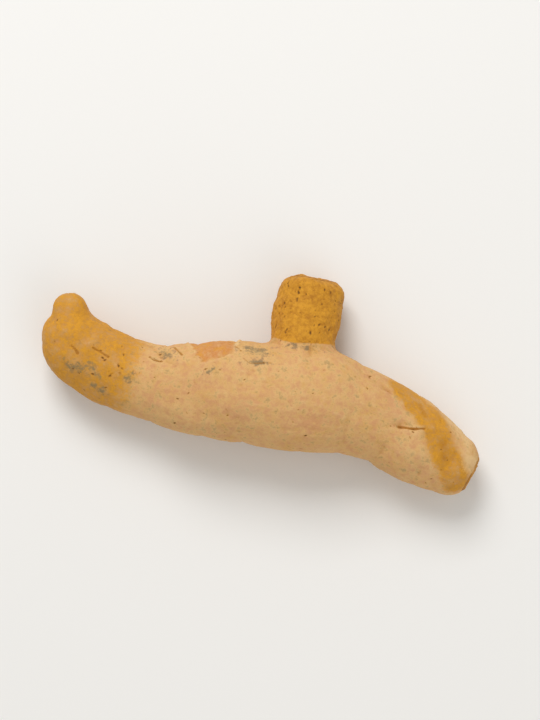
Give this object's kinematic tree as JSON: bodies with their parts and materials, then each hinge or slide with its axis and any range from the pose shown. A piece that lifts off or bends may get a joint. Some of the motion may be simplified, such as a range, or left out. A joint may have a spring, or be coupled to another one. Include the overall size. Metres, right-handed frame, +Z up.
{
  "type": "dried turmeric finger",
  "caption": "Dried turmeric finger: a faintly ringed, slightly S-shaped rhizome with a narrow bud tip, a blunt broken base and a short broken side branch, lying on its side.",
  "frame": {"origin": "on the surface that the finger lies on, under the middle of its box", "axes": "+X runs along the finger from its bud tip to its blunt base, +Y points the way of the side branch, +Z is up"},
  "size_m": [0.071, 0.0288, 0.0154],
  "materials": {
    "skin": "matte, dusty ochre dried skin with orange torn places, olive-grey stains and dark flecks"
  },
  "bodies": {
    "root": {"turmeric_finger": "skin"}
  },
  "joints": []
}
